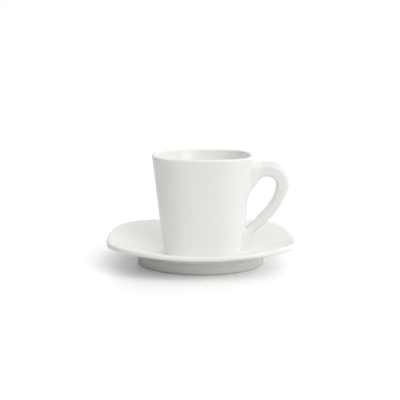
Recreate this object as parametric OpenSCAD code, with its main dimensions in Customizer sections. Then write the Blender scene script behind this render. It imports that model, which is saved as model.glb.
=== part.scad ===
// Rounded-square espresso cup with a loop handle, standing on a saucer of the same outline.
// Millimetres, Z up. The origin is the middle of the saucer where its foot meets the table; the handle points along +X.

/* [Cup] */
// Height of the cup from its foot to its lip
cup_height = 63.5; // [56:0.5:72]
// Width across the outside of the lip, side to side and front to back
rim_width = 64.5; // [58:0.5:72]
// Lean of the wall from upright, in degrees
wall_taper = 6.7; // [4:0.1:8]
// Thickness of the wall
wall_thickness = 2.6; // [2:0.1:3.6]
// Radius of the turn from the wall into the base
base_round = 2.6; // [2:0.1:4]
// Thickness of the floor inside the foot ring
floor_thickness = 3.8; // [2.8:0.1:5]
// Radius of the turn from the floor into the wall inside the cup
inner_round = 9; // [5:0.5:10]
// Width across the foot ring of the cup
cup_foot_diameter = 41; // [36:0.5:42]
// Height of the foot ring of the cup
cup_foot_height = 0.7; // [0.5:0.1:1.2]
// How far right of the saucer's middle the cup stands
cup_shift = 1; // [0:0.1:1.4]

/* [Handle] */
// Depth of the handle from front to back
handle_depth = 9.6; // [7:0.1:12]
// Radius of the handle's long edges
handle_edge = 2.8; // [1.5:0.1:3]
// Height of the top of the handle below the lip
handle_drop = 4.5; // [2:0.5:7]

/* [Saucer] */
// Width of the saucer, side to side and front to back
saucer_width = 120; // [110:1:132]
// Height of the well the cup stands in above the table
well_height = 5.5; // [4:0.1:6.5]
// Width across the flat of the well
well_diameter = 54; // [53:0.5:58]
// Slope of the saucer from the well up to its edge, in degrees
saucer_slope = 18.1; // [10:0.1:20]
// Thickness of the saucer under the slope
saucer_thickness = 3.2; // [2.2:0.1:3.6]
// Width across the foot of the saucer
saucer_foot_diameter = 80.5; // [74:0.5:86]
// Width of the saucer's foot ring
saucer_foot_width = 3.6; // [2.6:0.1:5]
// Depth of the recess inside the saucer's foot ring
saucer_recess = 1.6; // [1:0.1:2]

/* [Hidden] */
$fn = 96;
overlap = 1;
nip = 0.03;
// Shares of the width that draw the side and corner arcs of the rounded squares
side_share = 1.275;
corner_share = 0.35;

// Cup outline
rim_r = rim_width / 2;
wall_slope = tan(wall_taper);
wall_stretch = 1 / cos(wall_taper);
wall_normal = [cos(wall_taper), -sin(wall_taper)];
base_c = [outer_r(cup_foot_height + base_round) - base_round * wall_stretch, cup_foot_height + base_round];
base_t = base_c + base_round * wall_normal;
lip_r = wall_thickness / 2;
lip_z = cup_height - lip_r;
lip_c = [outer_r(lip_z) - lip_r * wall_stretch, lip_z];
lip_out = lip_c + lip_r * wall_normal;
lip_in = lip_c - lip_r * wall_normal;
floor_z = cup_foot_height + floor_thickness;
turn_z = floor_z + inner_round;
turn_c = [outer_r(turn_z) - (wall_thickness + inner_round) * wall_stretch, turn_z];
turn_t = turn_c + inner_round * wall_normal;
cup_foot_r = cup_foot_diameter / 2;
cup_foot_width = 2.6;

// Rounded square of the cup, drawn from the lip
cup_side_r = side_share * rim_width;
cup_corner_r = corner_share * rim_width;
cup_side_c = cup_side_r - rim_r;
cup_corner_c = corner_centre(cup_side_r, cup_corner_r, cup_side_c);
cup_sweep = asin(cup_corner_c / (cup_side_r - cup_corner_r));
corner_in = rim_r - cup_corner_r;
hub_r = 0.4;
hub_x = corner_in + hub_r;
floor_lap = 0.3;
floor_half = hub_x + floor_lap;

// Handle outline, sized from the height of the cup
arch_r = 0.2176 * cup_height;
arch_c = [rim_r + 0.136 * cup_height, cup_height - handle_drop - arch_r];
top_angle = 100;
arm_angle = -20;
tail_angle = -57;
arm_mid_angle = (arm_angle + tail_angle) / 2;
arm_r = 0.882 * cup_height;
arm_c = arch_c - (arm_r - arch_r) * dir(arm_angle);
top_p = arch_c + (arch_r - nip) * dir(top_angle);
tail_p = arm_c + (arm_r - 2 * nip) * dir(tail_angle);
past_tail = 5;
arm_lap = 3 * dir(arm_mid_angle);
reach = 0.4 * cup_height;
root_depth = 6;
tail_way = dir(tail_angle - 90);
root_fall = (tail_p.x - outer_r(tail_p.y)) / (wall_slope * tail_way.y - tail_way.x);
root_p = tail_p + root_fall * tail_way;
edge_in = 0.88 * handle_edge;

// Finger gap outline
gap_r = 0.0976 * cup_height;
gap_c = arch_c + [-0.004, -0.028] * cup_height;
gap_top_angle = 143;
gap_side_angle = -8;
gap_tail_angle = -41.7;
gap_mid_angle = (gap_side_angle + gap_tail_angle) / 2;
gap_side_r = 0.394 * cup_height;
gap_side_c = gap_c - (gap_side_r - gap_r) * dir(gap_side_angle);
gap_top_p = gap_c + (gap_r - nip) * dir(gap_top_angle);
gap_tail_p = gap_side_c + (gap_side_r - 2 * nip) * dir(gap_tail_angle);
past_gap_tail = 8;
gap_lap = 3 * dir(gap_mid_angle);

// Saucer outline and section
saucer_r = saucer_width / 2;
side_r = side_share * saucer_width;
corner_r = corner_share * saucer_width;
side_c = side_r - saucer_r;
corner_c = corner_centre(side_r, corner_r, side_c);
corner_cut = side_r * sin(asin(corner_c / (side_r - corner_r)));
side_touch = sqrt(side_r * side_r - corner_cut * corner_cut) - side_c;
well_r = well_diameter / 2;
cove_r = 22;
cove_run = cove_r * tan(saucer_slope / 2);
saucer_span = 0.62 * saucer_width;
foot_r = saucer_foot_diameter / 2;
under_drop = saucer_thickness / cos(saucer_slope);
foot_turn = 1.6;

// Half the outside width of the cup at a height above its foot
function outer_r(z) = rim_r - wall_slope * (cup_height - z);

// How far along both axes a corner arc's centre lies, for it to run smoothly into the side arcs
function corner_centre(side, corner, side_c) = (sqrt(2 * pow(side - corner, 2) - side_c * side_c) - side_c) / 2;

// Height of the saucer's upper face at a distance from its middle
function slope_z(r) = well_height + (r - well_r) * tan(saucer_slope);

// Unit step at an angle
function dir(a) = [cos(a), sin(a)];

// Section through the cup's wall, from the hub of a corner out, with its lip, its base turn and the turn inside
module wall_section() {
  difference() {
    union() {
      polygon([
        [hub_x, cup_foot_height],
        [base_c.x, cup_foot_height],
        base_t,
        lip_out,
        lip_in,
        turn_t,
        [turn_c.x, floor_z],
        [hub_x, floor_z]
      ]);
      translate(base_c) circle(base_round - nip);
    }
    translate(turn_c) circle(inner_round - nip);
  }
  translate(lip_c) circle(lip_r - nip);
}

// Length of the wall, turned about one of the upright lines that the arcs of the rounded square are drawn from
module turned_wall(centre, shift, from, to) {
  translate([centre.x, centre.y, 0]) rotate([0, 0, from])
    rotate_extrude(angle = to - from) translate([shift, 0]) wall_section();
}

module cup_body() {
  color("white")
  translate([cup_shift, 0, well_height]) {
    for (quarter = [0:90:270]) rotate([0, 0, quarter]) {
      turned_wall([-cup_side_c, 0], cup_side_c, -cup_sweep, cup_sweep);
      turned_wall([cup_corner_c, cup_corner_c], -corner_in, cup_sweep, 90 - cup_sweep);
    }
    translate([-floor_half, -floor_half, cup_foot_height]) cube([2 * floor_half, 2 * floor_half, floor_thickness]);
    rotate_extrude() translate([cup_foot_r - cup_foot_width, 0]) square([cup_foot_width, cup_foot_height + overlap]);
  }
}

// Plate as deep as the handle, from an outline seen from the front
module plate(extra) {
  linear_extrude(handle_depth + extra, center = true) children();
}

// Loop of the handle without the finger gap
module strap() {
  plate(0) translate(arch_c) circle(arch_r);
  plate(0) intersection() {
    translate(arm_c) circle(arm_r - nip);
    polygon([
      arch_c - arm_lap,
      arch_c,
      arch_c + 2 * arch_r * dir(arm_angle),
      arm_c + 1.2 * arm_r * dir(arm_mid_angle),
      arm_c + 1.2 * arm_r * dir(tail_angle - past_tail),
      tail_p - arm_lap
    ]);
  }
  plate(0) polygon([top_p + reach * dir(top_angle + 90), top_p, arch_c, tail_p, root_p, root_p - [root_depth, 0]]);
}

// Finger gap
module gap() {
  plate(overlap) translate(gap_c) circle(gap_r);
  plate(overlap) intersection() {
    translate(gap_side_c) circle(gap_side_r - nip);
    polygon([
      gap_c - gap_lap,
      gap_c,
      gap_c + 2 * gap_r * dir(gap_side_angle),
      gap_side_c + 1.2 * gap_side_r * dir(gap_mid_angle),
      gap_side_c + 1.2 * gap_side_r * dir(gap_tail_angle - past_gap_tail),
      gap_tail_p - gap_lap
    ]);
  }
  plate(overlap) polygon([
    gap_top_p + reach * dir(gap_top_angle + 90),
    gap_top_p,
    gap_c,
    gap_tail_p,
    gap_tail_p + reach * dir(gap_tail_angle - 90)
  ]);
}

// What rounding takes off the two corners of the strap's section, at a distance from a turning point
module corner_off(outer, side) {
  for (s = [0, 1]) mirror([0, s])
    translate([outer - side * edge_in, handle_depth / 2 - edge_in]) difference() {
      translate([side > 0 ? 0 : -handle_edge - overlap, 0]) square(handle_edge + overlap);
      circle(handle_edge);
    }
}

// Turns a section through an angle around a point of the handle's plane
module bend(centre, from, to) {
  translate([centre.x, centre.y, 0]) rotate([0, 0, from]) rotate_extrude(angle = to - from) children();
}

// Runs a section straight past a point of the handle's plane, facing an angle
module run(point, angle, left, right) {
  start = point + left * dir(angle + 90);
  translate([start.x, start.y, 0]) rotate([90, 0, angle]) linear_extrude(left + right) children();
}

// Loop with its four outer edges rounded off, one length after another
module rounded_strap() {
  difference() {
    difference() {
      difference() {
        difference() {
          strap();
          gap();
          bend(arch_c, arm_angle, top_angle) corner_off(arch_r, 1);
        }
        bend(arm_c, tail_angle, arm_angle) corner_off(arm_r - nip, 1);
      }
      run(top_p, top_angle, reach, 0) corner_off(0, 1);
    }
    run(tail_p, tail_angle, 0, reach) corner_off(0, 1);
  }
}

// Loop with the edges around the finger gap rounded off as well
module rounded_loop() {
  difference() {
    difference() {
      difference() {
        difference() {
          rounded_strap();
          bend(gap_c, gap_side_angle, gap_top_angle) corner_off(gap_r, -1);
        }
        bend(gap_side_c, gap_tail_angle, gap_side_angle) corner_off(gap_side_r - nip, -1);
      }
      run(gap_top_p, gap_top_angle, reach, 0) corner_off(0, -1);
    }
    run(gap_tail_p, gap_tail_angle, 0, reach) corner_off(0, -1);
  }
}

module cup_handle() {
  color("white")
  translate([cup_shift, 0, well_height])
  difference() {
    rotate([90, 0, 0]) rounded_loop();
    translate([-cup_side_c, 0, 0])
      cylinder(h = cup_height, r1 = cup_side_c + outer_r(0), r2 = cup_side_c + outer_r(cup_height));
  }
}

// Field common to the four shallow side arcs of the saucer
module side_arcs() {
  intersection() {
    translate([-side_c, 0]) circle(side_r);
    translate([side_c, 0]) circle(side_r);
    translate([0, -side_c]) circle(side_r);
    translate([0, side_c]) circle(side_r);
  }
}

// Rounded square of the saucer: the side arcs with their tips cut back, and an arc at each corner
module saucer_outline() {
  intersection() {
    side_arcs();
    rotate(45) square(sqrt(2) * (side_touch + corner_cut), center = true);
  }
  for (x = [-1, 1]) for (y = [-1, 1]) translate([x * corner_c, y * corner_c]) circle(corner_r - nip);
}

// Section of the saucer from its middle out past its corners, with a cove where the well turns up
module saucer_section() {
  difference() {
    polygon([
      [0, saucer_recess],
      [foot_r - saucer_foot_width - saucer_recess, saucer_recess],
      [foot_r - saucer_foot_width, 0],
      [foot_r, 0],
      [foot_r, slope_z(foot_r) - under_drop - foot_turn],
      [foot_r + foot_turn, slope_z(foot_r + foot_turn) - under_drop],
      [saucer_span, slope_z(saucer_span) - under_drop],
      [saucer_span, slope_z(saucer_span)],
      [well_r + cove_run * cos(saucer_slope), well_height + cove_run * sin(saucer_slope)],
      [well_r - cove_run, well_height],
      [0, well_height]
    ]);
    translate([well_r - cove_run, well_height + cove_r + nip]) circle(cove_r);
  }
}

module saucer() {
  color("white")
  intersection() {
    rotate_extrude() saucer_section();
    linear_extrude(saucer_width / 4) saucer_outline();
  }
}

cup_body();
cup_handle();
saucer();
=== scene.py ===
import math

import bmesh
import bpy
from mathutils import Euler, Matrix, Vector


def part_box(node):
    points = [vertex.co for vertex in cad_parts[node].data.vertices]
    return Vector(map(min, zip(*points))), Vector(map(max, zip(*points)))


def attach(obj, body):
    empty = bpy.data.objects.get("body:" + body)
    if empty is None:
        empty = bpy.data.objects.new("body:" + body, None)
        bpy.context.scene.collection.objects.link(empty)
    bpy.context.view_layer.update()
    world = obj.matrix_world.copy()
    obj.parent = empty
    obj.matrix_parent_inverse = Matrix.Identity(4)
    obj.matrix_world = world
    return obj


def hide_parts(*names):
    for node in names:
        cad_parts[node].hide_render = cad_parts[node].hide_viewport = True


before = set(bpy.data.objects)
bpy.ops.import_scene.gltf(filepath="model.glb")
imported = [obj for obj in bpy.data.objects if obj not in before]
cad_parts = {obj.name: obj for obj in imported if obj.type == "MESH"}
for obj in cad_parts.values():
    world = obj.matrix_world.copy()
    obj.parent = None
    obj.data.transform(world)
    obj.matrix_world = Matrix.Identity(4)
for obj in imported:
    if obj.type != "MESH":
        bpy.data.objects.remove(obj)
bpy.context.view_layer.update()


# Saucer: one pressed porcelain dish with a rounded-square outline, a flat middle
# that the cup stands on and a turned foot below. It is dipped in clear glaze, and
# the ring that meets the table is wiped dry before the firing.
mm = 0.001
saucer_steps = 240
saucer_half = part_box("saucer")[1][0]
well_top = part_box("cup_body")[0][2]
well_radius = 27 * mm
well_cove = 22 * mm
well_rings = (9 * mm, 16 * mm, 21 * mm)
dish_slope = math.radians(18.1)
dish_drop = 3.2 * mm / math.cos(dish_slope)
rim_bead = 1.6 * mm
foot_radius = 40.25 * mm
foot_inner = 36.65 * mm
foot_turn = 2.2 * mm
foot_edge = 0.9 * mm
foot_dry = 0.3 * mm
recess_top = 1.6 * mm
recess_turn = 1.2 * mm
recess_rings = (33 * mm, 24 * mm, 12 * mm, 0.1 * mm)
cove_tangent = well_cove * math.tan(dish_slope / 2)
cove_start = well_radius - cove_tangent
cove_end = well_radius + cove_tangent * math.cos(dish_slope)


def square_arcs(half):
    """Radii of a rounded square's side and corner arcs, and how far out their centres lie."""
    side, corner = 2.55 * half, 0.70 * half
    side_centre = side - half
    corner_centre = (math.sqrt(2 * (side - corner) ** 2 - side_centre ** 2) - side_centre) / 2
    return side, corner, side_centre, corner_centre


def rounded_square(half, turn, inset):
    """Distance from the middle to a rounded-square outline, drawn in by inset."""
    side, corner, side_centre, corner_centre = square_arcs(half)
    side, corner = side - inset, corner - inset
    eighth = abs((turn + math.pi / 4) % (math.pi / 2) - math.pi / 4)
    sweep = math.atan2(corner_centre, corner_centre + side_centre)
    meet = math.atan2(side * math.sin(sweep), side * math.cos(sweep) - side_centre)
    ahead, across = math.cos(eighth), math.sin(eighth)
    if eighth < meet:
        return math.sqrt(side ** 2 - (side_centre * across) ** 2) - side_centre * ahead
    off = corner_centre * (ahead - across)
    return corner_centre * (ahead + across) + math.sqrt(corner ** 2 - off ** 2)


def dish_top(reach):
    """Height of the upper face: flat middle, hollow turn, straight slope."""
    if reach < cove_start:
        return well_top
    if reach < cove_end:
        return well_top + well_cove - math.sqrt(well_cove ** 2 - (reach - cove_start) ** 2)
    return well_top + (reach - well_radius) * math.tan(dish_slope)


def draw_on(bm, edge, place):
    """Extrude the open edge and set each new point by its direction."""
    grown = bmesh.ops.extrude_edge_only(bm, edges=edge)["geom"]
    for point in grown:
        if isinstance(point, bmesh.types.BMVert):
            turn = math.atan2(point.co.y, point.co.x)
            reach, height = place(turn)
            point.co = (reach * math.cos(turn), reach * math.sin(turn), height)
    return [line for line in grown if isinstance(line, bmesh.types.BMEdge)]


def draw_turn(bm, edge, centre, radius, start, end, steps):
    """Extrude the open edge round a turned arc of the section."""
    for step in range(steps + 1):
        angle = math.radians(start + (end - start) * step / steps)
        spot = (centre[0] + radius * math.cos(angle), centre[1] + radius * math.sin(angle))
        edge = draw_on(bm, edge, lambda turn: spot)
    return edge


def make_piece(name, bm, finish):
    """Make a smooth object of a mesh, with its place in the mesh."""
    bmesh.ops.remove_doubles(bm, verts=bm.verts, dist=0.002 * mm)
    bmesh.ops.recalc_face_normals(bm, faces=bm.faces)
    mesh = bpy.data.meshes.new(name)
    bm.to_mesh(mesh)
    bm.free()
    mesh.polygons.foreach_set("use_smooth", [True] * len(mesh.polygons))
    mesh.materials.append(finish)
    piece = bpy.data.objects.new(name, mesh)
    bpy.context.scene.collection.objects.link(piece)
    return piece


def white_glaze(name, dry_top=None):
    """Clear glossy glaze on white porcelain, whitened by painted light where the mesh's attribute asks,
    bare below the height dry_top.
    """
    finish = bpy.data.materials.new(name)
    finish.use_nodes = True
    nodes = finish.node_tree.nodes
    link = finish.node_tree.links.new
    shader = nodes["Principled BSDF"]
    shader.inputs["IOR"].default_value = 1.52
    place = nodes.new("ShaderNodeTexCoord").outputs["Object"]

    def clouds(scale, detail):
        """Soft uneven pattern."""
        noise = nodes.new("ShaderNodeTexNoise")
        noise.inputs["Scale"].default_value = scale
        noise.inputs["Detail"].default_value = detail
        link(place, noise.inputs["Vector"])
        return noise.outputs["Fac"]

    def between(value, low, high, to_low, to_high):
        """Carry a value from one range to another."""
        spread = nodes.new("ShaderNodeMapRange")
        for socket, number in (("From Min", low), ("From Max", high),
                               ("To Min", to_low), ("To Max", to_high)):
            spread.inputs[socket].default_value = number
        link(value, spread.inputs["Value"])
        return spread.outputs["Result"]

    def blend(kind, factor, first, second):
        """Mix two numbers or two colours."""
        mix = nodes.new("ShaderNodeMix")
        mix.data_type = kind
        start, result = (2, 0) if kind == "FLOAT" else (6, 2)
        link(factor, mix.inputs[0])
        for socket, value in zip(mix.inputs[start:start + 2], (first, second)):
            if hasattr(value, "is_linked"):
                link(value, socket)
            else:
                socket.default_value = value
        return mix.outputs[result]

    cool_white = (0.885, 0.890, 0.867, 1)
    warm_white = (0.904, 0.902, 0.872, 1)
    # The last white is painted light: where a mesh's attribute asks, the glaze is whitened towards it,
    # standing in for light and bounce the lamps don't give.
    painted_light_white = (0.985, 0.988, 0.961, 1)
    tint = blend("RGBA", between(clouds(38, 3), 0.35, 0.65, 0, 1), cool_white, warm_white)
    painted_light_attribute = nodes.new("ShaderNodeAttribute")
    painted_light_attribute.attribute_name = "painted_light_share"
    tint = blend("RGBA", painted_light_attribute.outputs["Fac"], tint, painted_light_white)
    gloss = between(clouds(140, 2), 0.3, 0.7, 0.07, 0.13)
    peel = clouds(260, 1)
    bump = nodes.new("ShaderNodeBump")
    bump.inputs["Strength"].default_value = 0.05
    bump.inputs["Distance"].default_value = 0.2 * mm
    link(peel, bump.inputs["Height"])
    if dry_top is not None:
        dark_biscuit, pale_biscuit = (0.66, 0.63, 0.56, 1), (0.80, 0.77, 0.70, 1)
        split = nodes.new("ShaderNodeSeparateXYZ")
        link(place, split.inputs["Vector"])
        wander = nodes.new("ShaderNodeMath")
        wander.operation = "MULTIPLY_ADD"
        link(clouds(420, 2), wander.inputs[0])
        wander.inputs[1].default_value = 0.3 * mm
        link(split.outputs["Z"], wander.inputs[2])
        bare = between(wander.outputs[0], dry_top + 0.08 * mm, dry_top + 0.2 * mm, 1, 0)
        grain = clouds(3200, 3)
        tint = blend("RGBA", bare, tint, blend("RGBA", grain, dark_biscuit, pale_biscuit))
        gloss = blend("FLOAT", bare, gloss, between(grain, 0.3, 0.7, 0.62, 0.82))
        link(blend("FLOAT", bare, peel, grain), bump.inputs["Height"])
    link(tint, shader.inputs["Base Color"])
    link(gloss, shader.inputs["Roughness"])
    link(bump.outputs["Normal"], shader.inputs["Normal"])
    return finish


dish = bmesh.new()
bmesh.ops.create_circle(dish, cap_ends=True, cap_tris=True, radius=well_rings[0],
                        segments=saucer_steps)
bmesh.ops.translate(dish, verts=dish.verts, vec=(0, 0, well_top))
edge = [line for line in dish.edges if line.is_boundary]
for reach in well_rings[1:]:
    edge = draw_on(dish, edge, lambda turn: (reach, well_top))
for step in range(9):
    reach = cove_start + (cove_end - cove_start) * step / 8
    edge = draw_on(dish, edge, lambda turn: (reach, dish_top(reach)))
bead_top = rim_bead * (1 + math.sin(dish_slope))
bead_low = rim_bead * (1 - math.sin(dish_slope))
for step in range(1, 17):
    share = (step / 16) ** 0.9

    def on_slope(turn):
        """Place on the upper face, on the way out to the rim."""
        reach = cove_end + (rounded_square(saucer_half, turn, bead_top) - cove_end) * share
        return reach, dish_top(reach)

    edge = draw_on(dish, edge, on_slope)
for step in range(1, 17):
    angle = dish_slope + math.pi / 2 - math.pi * step / 16

    def on_bead(turn):
        """Place on the rounded rim."""
        middle = dish_top(rounded_square(saucer_half, turn, rim_bead)) - rim_bead / math.cos(dish_slope)
        return (rounded_square(saucer_half, turn, rim_bead * (1 - math.cos(angle))),
                middle + rim_bead * math.sin(angle))

    edge = draw_on(dish, edge, on_bead)
turn_reach = foot_radius + foot_turn
turn_height = dish_top(turn_reach) - dish_drop - foot_turn / math.cos(dish_slope)
turn_start = turn_reach - foot_turn * math.sin(dish_slope)
for step in range(1, 9):
    share = step / 9

    def under_slope(turn):
        """Place on the underside, on the way in to the foot."""
        rim = rounded_square(saucer_half, turn, bead_low)
        reach = rim + (turn_start - rim) * share
        return reach, dish_top(reach) - dish_drop

    edge = draw_on(dish, edge, under_slope)
edge = draw_turn(dish, edge, (turn_reach, turn_height), foot_turn,
                 90 + math.degrees(dish_slope), 180, 8)
for share in (0.3, 0.7):
    height = turn_height + (foot_edge - turn_height) * share
    edge = draw_on(dish, edge, lambda turn: (foot_radius, height))
edge = draw_turn(dish, edge, (foot_radius - foot_edge, foot_edge), foot_edge, 0, -90, 6)
ease = math.tan(math.radians(22.5))
edge = draw_turn(dish, edge, (foot_inner + foot_edge * ease, foot_edge), foot_edge, 270, 225, 4)
edge = draw_turn(dish, edge, (foot_inner - recess_top - recess_turn * ease,
                              recess_top - recess_turn), recess_turn, 45, 90, 5)
for reach in recess_rings:
    edge = draw_on(dish, edge, lambda turn: (reach, recess_top))
bmesh.ops.pointmerge(dish, verts=list({end for line in edge for end in line.verts}),
                     merge_co=(0, 0, recess_top))

# How much painted light whitens the saucer, from 0 to 1: painted light over the middle round the cup, a
# painted highlight along the rim, and painted light on the shaded underside towards the foot.
well_light_reach, well_light_fade, well_light = 45 * mm, 18 * mm, 0.9
rim_light_fade, rim_light = 5 * mm, 0.5
foot_light_reach, foot_light_fade, foot_light = 52 * mm, 10 * mm, 0.8
painted_light_share = dish.verts.layers.float.new("painted_light_share")
for point in dish.verts:
    turn, reach = math.atan2(point.co.y, point.co.x), math.hypot(point.co.x, point.co.y)
    if point.co.z > dish_top(reach) - 2 * rim_bead:
        from_edge = rounded_square(saucer_half, turn, 0) - reach
        well_lit = min(1, max(0, (well_light_reach - reach) / well_light_fade))
        point[painted_light_share] = max(well_light * well_lit, rim_light - from_edge / rim_light_fade)
    else:
        point[painted_light_share] = min(foot_light, max(0, (foot_light_reach - reach) / foot_light_fade))
saucer = make_piece("glazed_saucer", dish, white_glaze("saucer_glaze", foot_dry))
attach(saucer, "saucer")
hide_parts("saucer")


# Cup: a slip-cast porcelain cup with straight tapering walls and the saucer's rounded
# square for its outline, a rounded lip, and a rounded base on a low round foot ring. It
# is glazed inside and out, stands loose in the middle of the saucer, and its ring is dry.
cup_steps = 216
cup_low, cup_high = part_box("cup_body")
cup_place = Vector(((cup_low[0] + cup_high[0]) / 2, 0, well_top))
cup_height = cup_high[2] - cup_low[2]
rim_half = 32.25 * mm
wall_angle = math.radians(6.7)
wall_lean = math.tan(wall_angle)
wall_across = 2.6 * mm / math.cos(wall_angle)
lip_round = 1.26 * mm
cup_floor = 4.5 * mm
inner_round = 9 * mm
base_height = 0.7 * mm
base_round = 2.6 * mm
ring_out, ring_in = 20.5 * mm, 17.9 * mm
ring_turn, ring_edge = 0.35 * mm, 0.4 * mm
ring_dry = 0.15 * mm
hub = 10.1 * mm


def wall_half(height):
    """Half the outside width of the straight wall at a height above the foot."""
    return rim_half - wall_lean * (cup_height - height)


# Corners of the cup's section from the middle of the floor round to the middle of
# the underside, each with the radius that it is turned to.
cup_corners = (
    ((0, cup_floor), 0),
    ((wall_half(cup_floor) - wall_across, cup_floor), inner_round),
    ((rim_half - wall_across, cup_height), lip_round),
    ((rim_half, cup_height), lip_round),
    ((wall_half(base_height), base_height), base_round),
    ((ring_out, base_height), ring_turn),
    ((ring_out, 0), ring_edge),
    ((ring_in, 0), ring_edge),
    ((ring_in, base_height), ring_turn),
    ((0, base_height), 0),
)
section = bmesh.new()
corners = [section.verts.new((spot[0], 0, spot[1])) for spot, turned in cup_corners]
for first, second in zip(corners, corners[1:]):
    section.edges.new((first, second))
tangents = []
for number in range(1, len(corners) - 1):
    before, here, after = (corners[number + step].co for step in (-1, 0, 1))
    bend = (before - here).angle(after - here)
    tangents.append(cup_corners[number][1] / math.tan(bend / 2))
for corner, tangent in zip(corners[1:-1], tangents):
    bmesh.ops.bevel(section, geom=[corner], offset=tangent, offset_type="OFFSET",
                    segments=10, profile=0.5, affect="VERTICES", material=-1,
                    clamp_overlap=False)
long_lines = [line for line in section.edges if line.calc_length() > 3 * mm]
bmesh.ops.subdivide_edges(section, edges=long_lines, cuts=14)
bmesh.ops.spin(section, geom=section.verts[:] + section.edges[:], cent=(0, 0, 0),
               axis=(0, 0, 1), angle=2 * math.pi, steps=cup_steps, use_merge=True)

# The spun cup is drawn out to the rounded square, all but its round foot ring.
for point in section.verts:
    turn, reach = math.atan2(point.co.y, point.co.x), math.hypot(point.co.x, point.co.y)
    if point.co.z > base_height + 0.001 * mm or reach > ring_out + ring_turn:
        inner = max(reach, hub)
        stretch = rounded_square(rim_half, turn, rim_half - inner) / inner
        point.co.x *= stretch
        point.co.y *= stretch

# Painted light whitens the cup: fully inside and over the lip, about half on the outer wall, and a
# little more low on the wall, where it stands in for the saucer's bounce.
low_wall_light, low_wall_fade = 0.7, 22 * mm
inside_light, lip_light_fade = 1.1, 2.4 * mm
painted_light_share = section.verts.layers.float.new("painted_light_share")
for point in section.verts:
    turn, reach = math.atan2(point.co.y, point.co.x), math.hypot(point.co.x, point.co.y)
    point[painted_light_share] = max(0, low_wall_light - point.co.z / low_wall_fade)
    if point.co.z > cup_floor - 0.01 * mm:
        middle = rim_half - wall_half(point.co.z) + wall_across / 2
        inward = rounded_square(rim_half, turn, middle) - reach
        point[painted_light_share] = min(1, max(point[painted_light_share], inside_light + inward / lip_light_fade))
bmesh.ops.translate(section, verts=section.verts, vec=cup_place)
cup = make_piece("glazed_cup", section, white_glaze("cup_glaze", well_top + ring_dry))
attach(cup, "cup")
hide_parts("cup_body")


# Handle: a solid porcelain ear with flat sides and eased edges, cast on its own and
# stuck to the leather-hard wall with slip. The slip is smoothed out to a hollow turn
# at both roots, so handle and wall run into each other under one glaze.
handle_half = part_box("cup_handle")[1][1]
handle_edge = 2.8 * mm
outer_bevel, inner_bevel = 0.6, -0.6
least_slant, edge_share = 0.35, 0.45
arch_centre, arch_radius, arch_start = Vector((40.89 * mm, 45.18 * mm)), 13.82 * mm, 100
arm_radius, arm_angle, arm_end, tail_angle = 56 * mm, -20, -37, -57
eye_centre, eye_radius, eye_start = Vector((40.63 * mm, 43.40 * mm)), 6.2 * mm, 143
shank_radius, shank_angle, shank_end = 25.02 * mm, -8, -41.7
arch_lead, eye_lead = 190, 233
upper_spread = (3.5 * mm, 6.5 * mm, 3 * mm)
lower_spread = (5 * mm, 5.5 * mm, 2.5 * mm)
root_sink, root_depth = 0.04 * mm, 0.9 * mm
cup_side_centre = square_arcs(rim_half)[2]
base_top = base_height + base_round
base_out = wall_half(base_top) - base_round / math.cos(wall_angle)


def toward(angle):
    """Unit step at an angle in the handle's plane."""
    return Vector((math.cos(math.radians(angle)), math.sin(math.radians(angle))))


def wall_below(spot, angle):
    """Where a line from a point of the handle, going at an angle, meets the wall."""
    way = toward(angle)
    length = (wall_half(spot.y) - spot.x) / (way.x - wall_lean * way.y)
    return spot + length * way


def arc(centre, radius, start, end):
    """Points along an arc in the handle's plane."""
    return [centre + radius * toward(start + (end - start) * step / 40) for step in range(41)]


def spread(path, count):
    """Points at equal steps along a path."""
    lengths = [(b - a).length for a, b in zip(path, path[1:])]
    total = sum(lengths)
    points = []
    for step in range(count + 1):
        left = total * step / count
        for a, b, length in zip(path, path[1:], lengths):
            if left <= length or b is path[-1]:
                points.append(a.lerp(b, min(1, left / length)))
                break
            left -= length
    return points


def way_along(line, number):
    """Direction of a line at one of its points."""
    return (line[min(number + 1, len(line) - 1)] - line[max(number - 1, 0)]).normalized()


def on_wall(height, aside):
    """How far out the cup's face is at a height and a distance to the side."""
    half = wall_half(height)
    drop = base_top - height
    if drop > base_round * math.sin(wall_angle):
        half = base_out + math.sqrt(max(0, base_round ** 2 - drop ** 2))
    return math.sqrt((cup_side_centre + half) ** 2 - aside ** 2) - cup_side_centre


def edge_turn(bevel):
    """Quarter turn of an edge, drawn towards a bevel or, below 0, towards a sharp corner."""
    turns = []
    for step in range(9):
        share = step / 8
        way, turn = math.cos(math.pi / 2 * share), math.sin(math.pi / 2 * share)
        back = min(1, way + bevel * (1 - share - way))
        side = min(1, turn + bevel * (share - turn))
        turns.append((back, side, way, turn))
    return turns


def handle_section(outer, inner, outer_way, inner_way):
    """Points of the section between an outer and an inner point, each with its outward way."""
    across = outer - inner
    width = across.length
    across = across / width
    turn_out = min(handle_edge / max(least_slant, abs(across.cross(outer_way))), edge_share * width)
    turn_in = min(handle_edge / max(least_slant, abs(across.cross(inner_way))), edge_share * width)
    flat = handle_half - handle_edge
    ring = []
    for back, side, way, turn in edge_turn(outer_bevel):
        ring.append((width - turn_out + turn_out * back, flat + handle_edge * side, way, turn))
    for share in (0.05, 0.35, 0.65, 0.95):
        ring.append((width - turn_out + (turn_in + turn_out - width) * share, handle_half, 0, 1))
    for back, side, way, turn in reversed(edge_turn(inner_bevel)):
        ring.append((turn_in - turn_in * back, flat + handle_edge * side, -way, turn))
    ring.append((0, flat / 2, -1, 0))
    ring.append((0, 0, -1, 0))
    ring += [(along, -side, way, -turn) for along, side, way, turn in reversed(ring[:-1])]
    for side in (-flat / 2, 0, flat / 2):
        ring.append((width, side, 1, 0))
    points = []
    for along, side, way, turn in ring:
        spot = inner + across * along
        points.append((Vector((spot.x, side, spot.y)), Vector((across.x * way, turn, across.y * way))))
    return points


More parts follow.
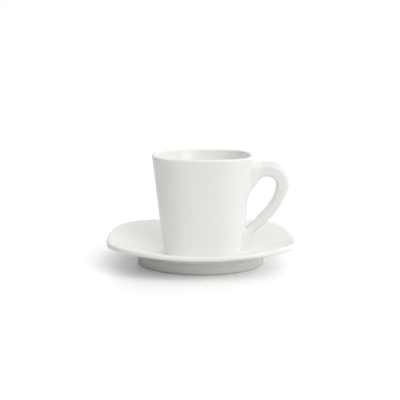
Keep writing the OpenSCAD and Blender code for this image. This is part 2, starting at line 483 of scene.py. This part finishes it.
def root_rings(near, at_wall, spreads):
    """Rings of the hollow turn from the arm, ending level with the wall, then into the wall."""
    nudge = 0.05 * mm
    rings = []
    for step in range(1, 13):
        share = step / 12
        ring = []
        for (arm, way), (root, outward) in zip(near, at_wall):
            up, side, down = max(0, outward.z), abs(outward.y), max(0, -outward.z)
            size = spreads[0] * up ** 2 + spreads[1] * side ** 2 + spreads[2] * down ** 2
            height = root.z + outward.z * size
            aside = root.y + outward.y * size
            end = Vector((on_wall(height, aside) - root_sink, aside, height))
            rise = (on_wall(height + nudge, aside) - on_wall(height - nudge, aside)) / (2 * nudge)
            run = (on_wall(height, aside + nudge) - on_wall(height, aside - nudge)) / (2 * nudge)
            level = end.x + rise * (root.z - height) + run * (root.y - aside)
            bend = Vector((level, root.y, root.z))
            ring.append(arm * (1 - share) ** 2 + bend * 2 * share * (1 - share) + end * share ** 2)
        rings.append(ring)
    rings.append([point - Vector((root_depth, 0, 0)) for point in rings[-1]])
    return rings


arm_centre = arch_centre - (arm_radius - arch_radius) * toward(arm_angle)
shank_centre = eye_centre - (shank_radius - eye_radius) * toward(shank_angle)
arch_line = arc(arch_centre, arch_radius, arch_start, arm_angle)
arm_line = arc(arm_centre, arm_radius, arm_angle, arm_end)
tail_line = arc(arm_centre, arm_radius, arm_end, tail_angle)
eye_line = arc(eye_centre, eye_radius, eye_start, shank_angle)
shank_line = arc(shank_centre, shank_radius, shank_angle, shank_end)

# Outer and inner line of each stretch of the handle from its upper root to its lower
# one, with the number of steps along it.
stretches = (
    ([wall_below(arch_line[0], arch_lead), arch_line[0]],
     [wall_below(eye_line[0], eye_lead), eye_line[0]], 10),
    (arch_line, eye_line, 44),
    (arm_line, shank_line, 22),
    (tail_line + [wall_below(tail_line[-1], tail_angle - 90)],
     [shank_line[-1], wall_below(shank_line[-1], shank_end - 90)], 24),
)
outer_line, inner_line = [], []
for outer_path, inner_path, count in stretches:
    skip = 1 if outer_line else 0
    outer_line += spread(outer_path, count)[skip:]
    inner_line += spread(inner_path, count)[skip:]
loops = [handle_section(outer, inner, way_along(outer_line, number), way_along(inner_line, number))
         for number, (outer, inner) in enumerate(zip(outer_line, inner_line))]
upper_near, lower_near = 10, len(loops) - 10
rings = list(reversed(root_rings(loops[upper_near], loops[0], upper_spread)))
rings += [[point for point, way in loop] for loop in loops[upper_near:lower_near + 1]]
rings += root_rings(loops[lower_near], loops[-1], lower_spread)
ear = bmesh.new()
number_of = ear.verts.layers.int.new("number")
start_ring = [ear.verts.new(point) for point in rings[0]]
for number, point in enumerate(start_ring):
    point[number_of] = number
edge = [ear.edges.new((point, start_ring[(number + 1) % len(start_ring)]))
        for number, point in enumerate(start_ring)]
bmesh.ops.contextual_create(ear, geom=edge)
for ring in rings[1:]:
    grown = bmesh.ops.extrude_edge_only(ear, edges=edge)["geom"]
    for point in grown:
        if isinstance(point, bmesh.types.BMVert):
            point.co = ring[point[number_of]]
    edge = [line for line in grown if isinstance(line, bmesh.types.BMEdge)]
bmesh.ops.contextual_create(ear, geom=edge)
bmesh.ops.translate(ear, verts=ear.verts, vec=cup_place)
handle = make_piece("glazed_handle", ear, white_glaze("handle_glaze"))
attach(handle, "cup")
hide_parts("cup_handle")


# Studio: a white table that runs out of sight under the set, and a sky of broad soft
# lamps, strongest on the right. The camera sees the table bright and the sky plain white.
table_half = 3
table_seen, table_bounce = 1.3, 0.85
table_polish, table_gloss = 0.22, 0.16
table_mesh = bmesh.new()
bmesh.ops.create_grid(table_mesh, x_segments=8, y_segments=8, size=table_half)
table_finish = bpy.data.materials.new("white_table")
table_finish.use_nodes = True
table_nodes, table_link = table_finish.node_tree.nodes, table_finish.node_tree.links.new
table_nodes.remove(table_nodes["Principled BSDF"])
table_ray = table_nodes.new("ShaderNodeLightPath")
table_white = table_nodes.new("ShaderNodeMixShader")
table_link(table_ray.outputs["Is Camera Ray"], table_white.inputs[0])
for number, white in ((1, table_bounce), (2, table_seen)):
    matt = table_nodes.new("ShaderNodeBsdfDiffuse")
    matt.inputs["Color"].default_value = (white, white, white, 1)
    table_link(matt.outputs["BSDF"], table_white.inputs[number])
sheen = table_nodes.new("ShaderNodeBsdfGlossy")
sheen.inputs["Roughness"].default_value = table_gloss
polish = table_nodes.new("ShaderNodeMixShader")
polish.inputs[0].default_value = table_polish
table_link(table_white.outputs["Shader"], polish.inputs[1])
table_link(sheen.outputs["BSDF"], polish.inputs[2])
table_link(polish.outputs["Shader"], table_nodes["Material Output"].inputs["Surface"])
table = make_piece("white_table", table_mesh, table_finish)

studio = bpy.data.worlds.new("studio")
bpy.context.scene.world = studio
studio.use_nodes = True
sky_nodes, sky_link = studio.node_tree.nodes, studio.node_tree.links.new
sky_way = sky_nodes.new("ShaderNodeTexCoord").outputs["Generated"]
sky_ray = sky_nodes.new("ShaderNodeLightPath")

# Each soft lamp of the sky: where it stands, how tight it is and how strong. The
# window is a lamp that shows only as a gleam on the glaze.
sky_lamps = (
    ((0.60, -0.50, 0.60), 12, 2.86),
    ((0.70, 0.70, 0.20), 12, 1.95),
    ((1.00, 0.00, 0.20), 12, 0.68),
    ((0.75, -0.65, 0.20), 12, 0.33),
    ((0.00, -0.55, 0.83), 6, 1.06),
    ((0.00, 0.70, 0.70), 6, 0.84),
    ((-0.70, 0.00, 0.70), 6, 0.60),
    ((0.00, 1.00, 0.20), 8, 0.62),
    ((0.00, 0.00, 1.00), 2, 0.20),
)
window = ((0.31, -0.95, 0.07), 40, 4)


def sky_step(operation, first, second):
    """One sum on the sky's brightness."""
    step = sky_nodes.new("ShaderNodeMath")
    step.operation = operation
    for socket, value in zip(step.inputs, (first, second)):
        if hasattr(value, "is_linked"):
            sky_link(value, socket)
        else:
            socket.default_value = value
    return step.outputs[0]


def sky_glow(place, tightness, strength):
    """Brightness of one soft lamp over the sky."""
    facing = sky_nodes.new("ShaderNodeVectorMath")
    facing.operation = "DOT_PRODUCT"
    sky_link(sky_way, facing.inputs[0])
    facing.inputs[1].default_value = Vector(place).normalized()
    glow = sky_step("POWER", sky_step("MAXIMUM", facing.outputs["Value"], 0), tightness)
    return sky_step("MULTIPLY", glow, strength)


brightness = sky_step("MULTIPLY", sky_glow(*window), sky_ray.outputs["Is Glossy Ray"])
for lamp in sky_lamps:
    brightness = sky_step("ADD", sky_glow(*lamp), brightness)
lit_sky = sky_nodes["Background"]
lit_sky.inputs["Color"].default_value = (1, 1, 1, 1)
sky_link(brightness, lit_sky.inputs["Strength"])
white_sky = sky_nodes.new("ShaderNodeBackground")
white_sky.inputs["Color"].default_value = (1, 1, 1, 1)
sky_mix = sky_nodes.new("ShaderNodeMixShader")
sky_link(sky_ray.outputs["Is Camera Ray"], sky_mix.inputs[0])
sky_link(lit_sky.outputs["Background"], sky_mix.inputs[1])
sky_link(white_sky.outputs["Background"], sky_mix.inputs[2])
sky_link(sky_mix.outputs["Shader"], sky_nodes["World Output"].inputs["Surface"])

# The camera stands in front, about twice as high as the lip, and looks slightly down.
view_aside, view_back, view_up = -0.65 * mm, 613.6 * mm, 139.43 * mm
view_turn, view_tilt, view_roll = (math.radians(angle) for angle in (-1.18, 90 - 9.245, 0.23))
lens = bpy.data.cameras.new("camera")
lens.sensor_width = 36
lens.lens = 87.91
camera = bpy.data.objects.new("camera", lens)
camera.location = (view_aside * math.cos(view_turn) + view_back * math.sin(view_turn),
                   view_aside * math.sin(view_turn) - view_back * math.cos(view_turn), view_up)
camera.rotation_euler = (Euler((view_tilt, 0, view_turn)).to_matrix()
                         @ Matrix.Rotation(view_roll, 3, "Z")).to_euler()
bpy.context.scene.collection.objects.link(camera)
bpy.context.scene.camera = camera
bpy.context.scene.view_settings.view_transform = "Standard"
